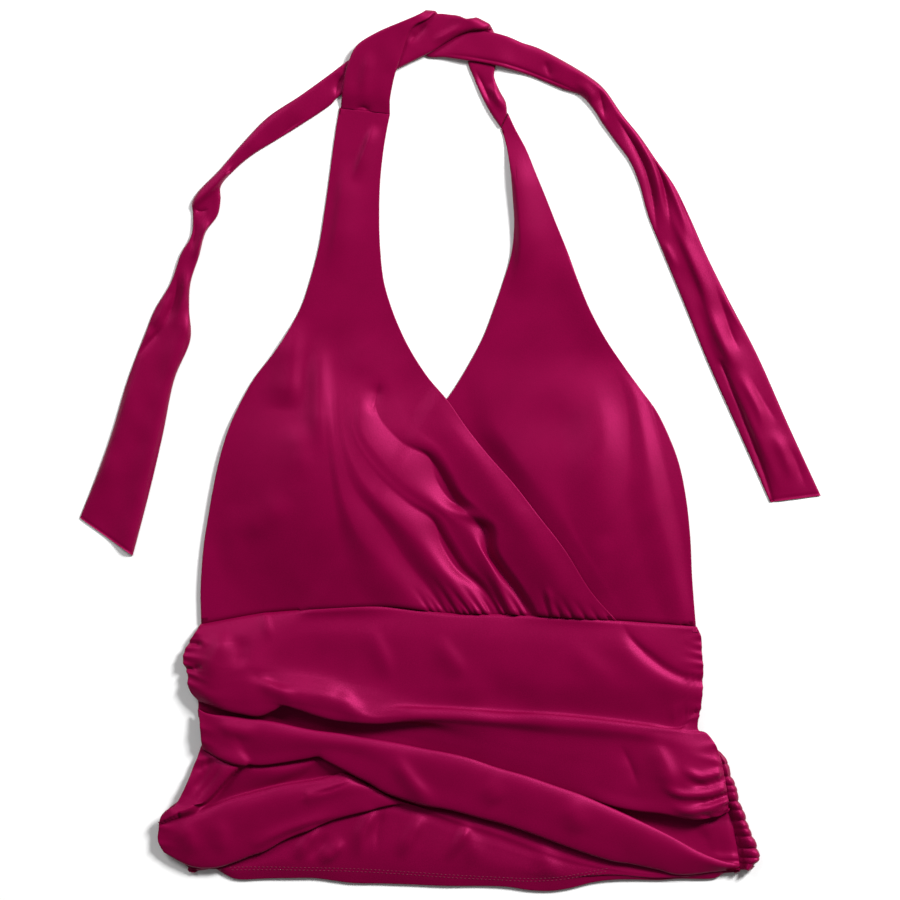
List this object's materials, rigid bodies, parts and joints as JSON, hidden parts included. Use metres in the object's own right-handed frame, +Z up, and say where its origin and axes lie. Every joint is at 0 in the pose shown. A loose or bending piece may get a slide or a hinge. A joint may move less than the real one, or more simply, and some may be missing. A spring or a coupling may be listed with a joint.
{
  "type": "halter top",
  "caption": "Wrap-front halter top in plain stretch knit with a ruched waist panel and long neck ties, laid flat.",
  "frame": {"origin": "middle of the garment's outline, on the surface that it lies on", "axes": "+Z up from the surface, +Y towards the neck ties, +X towards the wearer's left, on the right as it is looked at from above"},
  "size_m": [0.5184, 0.6164, 0.0152],
  "materials": {
    "knit": "smooth raspberry stretch knit with a soft satin sheen"
  },
  "bodies": {
    "root": {"cup_wrap": "knit", "cup_under": "knit", "back_band": "knit", "waist_front": "knit", "waist_back": "knit", "tie_left": "knit", "tie_right": "knit"}
  },
  "joints": []
}
